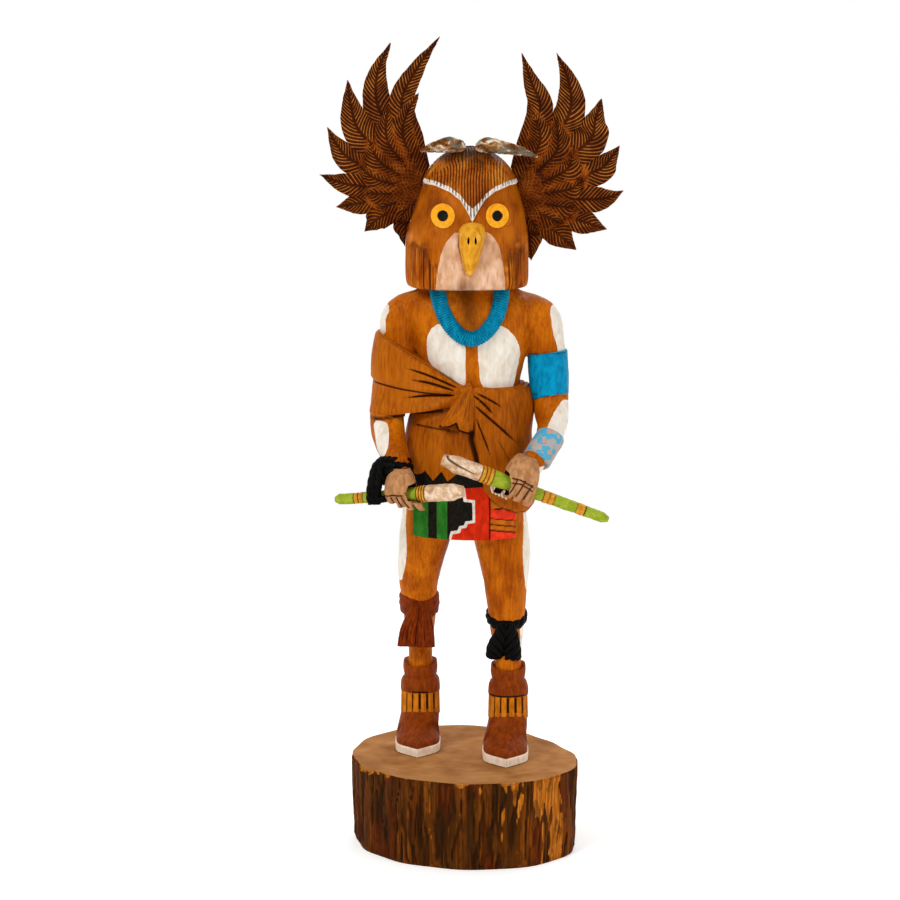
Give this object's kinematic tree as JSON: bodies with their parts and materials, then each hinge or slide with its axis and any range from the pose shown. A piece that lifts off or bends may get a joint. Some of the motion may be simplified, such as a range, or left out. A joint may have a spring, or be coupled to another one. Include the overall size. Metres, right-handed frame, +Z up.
{
  "type": "kachina doll",
  "caption": "Carved, painted wooden kachina doll: standing figure in an owl mask with feather fans, holding two wands, on a slice of log.",
  "frame": {"origin": "centre of the log slice's underside", "axes": "+Z up; the figure faces -Y; +X is towards the figure's left hand"},
  "size_m": [0.1494, 0.1263, 0.3983],
  "materials": {
    "bark": "sanded top, rough bark side, unpainted",
    "carved": "hand-carved root, matt paint rubbed back to the grain",
    "beak": "matt yellow paint",
    "feathers": "gouged barbs, dark stain in the cuts",
    "crown_feathers": "mottled white, grey and brown paint",
    "wands": "green paint with yellow bands, white carved end"
  },
  "bodies": {
    "root": {"log_base": "bark", "figure": "carved", "beak": "beak", "feather_fan_right": "feathers", "feather_fan_left": "feathers", "crown_feather_right": "crown_feathers", "crown_feather_left": "crown_feathers", "wand_right": "wands", "wand_left": "wands"}
  },
  "joints": []
}
